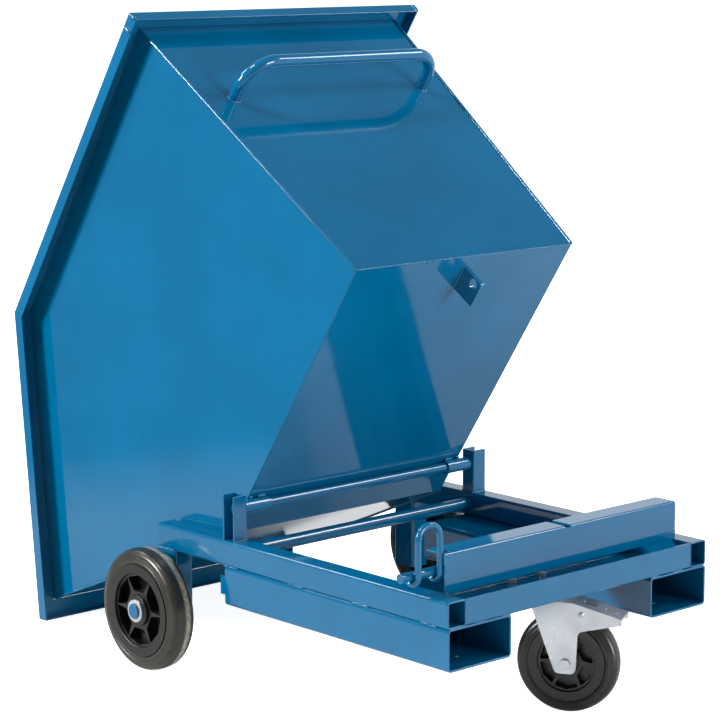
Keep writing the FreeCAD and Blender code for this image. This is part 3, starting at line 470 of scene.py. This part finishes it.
# Skip: five flat sheets, mitred and welded, with a folded rim, all powder coated in gloss blue.
# Rolled sheet is never quite flat, so its reflections wander. The pouring rim's edge is left
# crisp where the chute runs into it.
skip_paint = powder_coat("gloss_blue_powder_coat_on_sheet", "#006592", "#005d87", wave_depth=0.0012)
for node in ("skip_chute", "skip_bottom", "skip_rear_wall", "skip_side_left", "skip_side_right"):
    softened(node, skip_paint, edge=0.0008)
for node in ("rim_rear", "rim_side_left", "rim_side_right"):
    softened(node, skip_paint, edge=0.0014)
softened("rim_front", skip_paint, edge=0.0004)
for node in ("push_handle", "pivot_sleeve_left", "pivot_sleeve_right", "locking_lug"):
    softened(node, skip_paint, edge=0.001)

# Skip welds: full runs up the rear corners and along the chute, stitches along the bottom's rear edge,
# and beads at the rim's mitres, the handle's feet, the pivot sleeves and the lug.
# They are laid before the powder coat, and dressed smoother at the corners and the rim.
hinge = joints["skip_tip"]
tipped = math.radians(hinge["range_deg"][1])
# Lengths along the bottom are from the pivot, and heights are from the bottom's outer face.
sleeve_radius, handle_radius = 0.014, 0.0125
skip_height, foot_half_width, side_flare = 0.727, 0.289, 0.052
rear_foot, rear_overhang, corner_top = 0.5925, 0.0337, 0.722
taper, lean = side_flare / skip_height, rear_overhang / skip_height
chute_heel, chute_reach, chute_rise = -0.0885, 0.5275, 0.3469
rim_flange, lip_low, lip_high = 0.037, 0.704, 0.7245
handle_half_width, handle_climb = 0.25, 0.498
lug_front, lug_rear, lug_faces = 0.5135, 0.5655, (0.004, 0.014)
mitre_places = (0.631, 0.6622)
sleeve_runs, sleeve_edge, sleeve_sunk = ((0.246, 0.268), (0.28, 0.288)), 0.011, 0.002
bottom_edge, rear_stitch_length = 0.286, 0.007
rear_stitches = (-0.167, -0.152, -0.124, -0.111, -0.096, -0.068, -0.053)


def on_skip(x, y, h):
    """A place on the skip in the row frame: x along its bottom from the pivot, y across, h above it."""
    z = h + sleeve_radius
    return np.array([hinge["pos_m"][0] + x * math.cos(tipped) - z * math.sin(tipped), y,
                     hinge["pos_m"][2] + x * math.sin(tipped) + z * math.cos(tipped)])


def half_width(h):
    """Outer half width of the skip, which grows evenly with height."""
    return foot_half_width + taper * h


skip_beads = []
for side in (-1, 1):
    corner_foot = on_skip(rear_foot, side * half_width(0), 0.0)
    corner_head = on_skip(rear_foot + rear_overhang, side * half_width(skip_height), corner_top)
    skip_beads.append(weld_run(corner_foot, corner_head, radius=0.0036, ripple=0.02))
    heel = on_skip(chute_heel, side * half_width(0), 0)
    mouth = on_skip(chute_heel - chute_reach, side * half_width(chute_rise), chute_rise)
    skip_beads.append(weld_run(heel, mouth, radius=0.0029))
    lip_face = side * (half_width(skip_height) + rim_flange)
    for x in mitre_places:
        skip_beads.append(weld_run(on_skip(x, lip_face, lip_low), on_skip(x, lip_face, lip_high),
                                   radius=0.0045, ripple=0.04))
    climb = handle_climb * np.array([lean, 1.0]) / math.hypot(lean, 1.0)
    handle_foot = on_skip(rear_foot + climb[0], side * handle_half_width, climb[1])
    outward = on_skip(1.0, 0, -lean) - on_skip(0, 0, 0)
    skip_beads.append(bead(ring(handle_foot, outward, handle_radius), radius=0.0028))
    for near, far in sleeve_runs:
        for x in (-sleeve_edge, sleeve_edge):
            skip_beads.append(weld_run(on_skip(x, side * near, -sleeve_sunk),
                                       on_skip(x, side * far, -sleeve_sunk), radius=0.003))
skip_beads.append(weld_run(on_skip(rear_foot, -bottom_edge, 0), on_skip(rear_foot, bottom_edge, 0),
                           radius=0.0017))
for y in rear_stitches:
    skip_beads.append(weld_run(on_skip(rear_foot, y, 0), on_skip(rear_foot, y + rear_stitch_length, 0),
                               radius=0.0034))
for y in lug_faces:
    skip_beads.append(weld_run(on_skip(lug_front, y, 0), on_skip(lug_rear, y, 0), radius=0.0022))
weld("skip_welds", skip_beads, "skip", skip_paint)

# Latch: a round bolt that slides in the guides, with a bow of rod welded on to pull it.
# Both are powder coated with the frame.
for node in ("latch_bolt", "latch_pull_loop"):
    softened(node, frame_paint, edge=0.001)

# Studio: a plain pale floor, which only the camera sees, over boards, which the paint and the light see.
# The boards go from dark at the camera's left through grey to white at its right. The room is white low
# down on the far side and dim elsewhere, and five softboxes each give some bend or weld its highlight.


def floor_disc(name, level, radius, tone, glow):
    """A flat disc of floor, its rim a circle in 96 steps, in matt paint that glows by that much."""
    steps = 96
    turn = np.linspace(0, 2 * np.pi, steps, endpoint=False)
    rim = np.stack([radius * np.cos(turn), radius * np.sin(turn), 0 * turn + level], 1)
    mesh = bpy.data.meshes.new(name)
    mesh.from_pydata(rim.tolist(), [], [tuple(range(steps))])
    finish = bpy.data.materials.new(name + "_paint")
    finish.use_nodes = True
    shader = finish.node_tree.nodes["Principled BSDF"]
    shader.inputs["Base Color"].default_value = linear(tone)
    shader.inputs["Roughness"].default_value = 0.9
    shader.inputs["Emission Color"].default_value = linear("#ffffff")
    shader.inputs["Emission Strength"].default_value = glow
    mesh.materials.append(finish)
    disc = bpy.data.objects.new(name, mesh)
    bpy.context.collection.objects.link(disc)
    return disc


floor = floor_disc("studio_floor", level=0.0, radius=400.0, tone="#fafafa", glow=0.87)
floor.visible_diffuse = False
floor.visible_glossy = False
floor.visible_shadow = False
boards = floor_disc("studio_boards", level=-0.001, radius=2.6, tone="#fafafa", glow=0.0)
boards.visible_camera = False
board_tree = boards.data.materials[0].node_tree
board_place = add(board_tree, "ShaderNodeTexCoord", {}).outputs["Object"]
to_right = add(board_tree, "ShaderNodeVectorMath", {0: board_place, 1: (0.745, 0.667, 0.0)},
               operation="DOT_PRODUCT")
board_share = add(board_tree, "ShaderNodeMapRange", {"Value": to_right.outputs["Value"],
                                                     "From Min": -2.1, "From Max": 0.2})
board_tone = add(board_tree, "ShaderNodeValToRGB", {"Fac": board_share.outputs["Result"]})
board_tone.color_ramp.elements[0].color = linear("#404040")
board_tone.color_ramp.elements[1].color = linear("#fafafa")
for position in (0.3, 0.65):
    board_tone.color_ramp.elements.new(position).color = linear("#d2cfca")
board_shader = board_tree.nodes["Principled BSDF"]
board_tree.links.new(board_tone.outputs["Color"], board_shader.inputs["Base Color"])

room = bpy.data.worlds.new("studio_room")
bpy.context.scene.world = room
room.use_nodes = True
room_tree = room.node_tree
heading = add(room_tree, "ShaderNodeTexCoord", {}).outputs["Generated"]
axes = add(room_tree, "ShaderNodeSeparateXYZ", {"Vector": heading})
far_side = add(room_tree, "ShaderNodeMapRange",
               {"Value": axes.outputs["Y"], "From Min": -0.4, "From Max": 0.5, "To Min": 0.0, "To Max": 1.0},
               interpolation_type="SMOOTHSTEP")
low_down = add(room_tree, "ShaderNodeMapRange",
               {"Value": axes.outputs["Z"], "From Min": 0.3, "From Max": 0.65, "To Min": 1.0, "To Max": 0.0},
               interpolation_type="SMOOTHSTEP")
white_part = add(room_tree, "ShaderNodeMath", {0: far_side.outputs["Result"], 1: low_down.outputs["Result"]},
                 operation="MULTIPLY")
brightness = add(room_tree, "ShaderNodeMapRange", {"Value": white_part.outputs["Value"],
                                                   "To Min": 0.26, "To Max": 1.15})
backdrop = room_tree.nodes["Background"]
room_tree.links.new(brightness.outputs["Result"], backdrop.inputs["Strength"])
backdrop.inputs["Color"].default_value = linear("#f4f6f8")


def softbox(name, place, aim, width, height, power):
    """A soft area light at a place, facing a point."""
    data = bpy.data.lights.new(name, "AREA")
    data.shape = "RECTANGLE"
    data.size = width
    data.size_y = height
    data.energy = power
    light = bpy.data.objects.new(name, data)
    bpy.context.collection.objects.link(light)
    light.location = place
    back = np.array(place, float) - np.array(aim, float)
    tilt = math.atan2(math.hypot(back[0], back[1]), back[2])
    light.rotation_euler = (tilt, 0, math.atan2(back[0], -back[1]))


softbox("key_softbox", (-3.87, -7.34, 4.11), aim=(0, 0, 0.6), width=2.0, height=2.0, power=1020)
softbox("back_softbox", (2.2, 3.0, 3.3), aim=(0, 0, 0.6), width=1.4, height=1.0, power=75)
softbox("left_softbox", (-3.2, -1.3, 3.55), aim=(0.3, -0.3, 0.3), width=0.8, height=0.8, power=40)
softbox("top_softbox", (-0.5, -2.3, 4.5), aim=(0, 0, 0.8), width=0.8, height=0.8, power=60)
softbox("fill_softbox", (6.2, 1.5, 1.3), aim=(0, 0, 0.5), width=2.0, height=2.0, power=190)

camera_data = bpy.data.cameras.new("photograph_camera")
camera_data.lens = 124.1
camera_data.sensor_width = 36.0
camera_data.clip_end = 100.0
camera = bpy.data.objects.new("photograph_camera", camera_data)
bpy.context.collection.objects.link(camera)
bearing, lift, roll = math.radians(48.21), math.radians(9.59), math.radians(-0.27)
backward = np.array([math.sin(bearing) * math.cos(lift), -math.cos(bearing) * math.cos(lift),
                     math.sin(lift)])
rightward = np.array([math.cos(bearing), math.sin(bearing), 0.0])
upward = np.cross(backward, rightward)
stand = np.eye(4)
stand[:3, 0] = rightward * math.cos(roll) + upward * math.sin(roll)
stand[:3, 1] = upward * math.cos(roll) - rightward * math.sin(roll)
stand[:3, 2] = backward
stand[:3, 3] = (3.71094, -3.3151, 1.4519)
camera.matrix_world = stand.T.tolist()
bpy.context.scene.camera = camera
bpy.context.scene.view_settings.view_transform = "Standard"
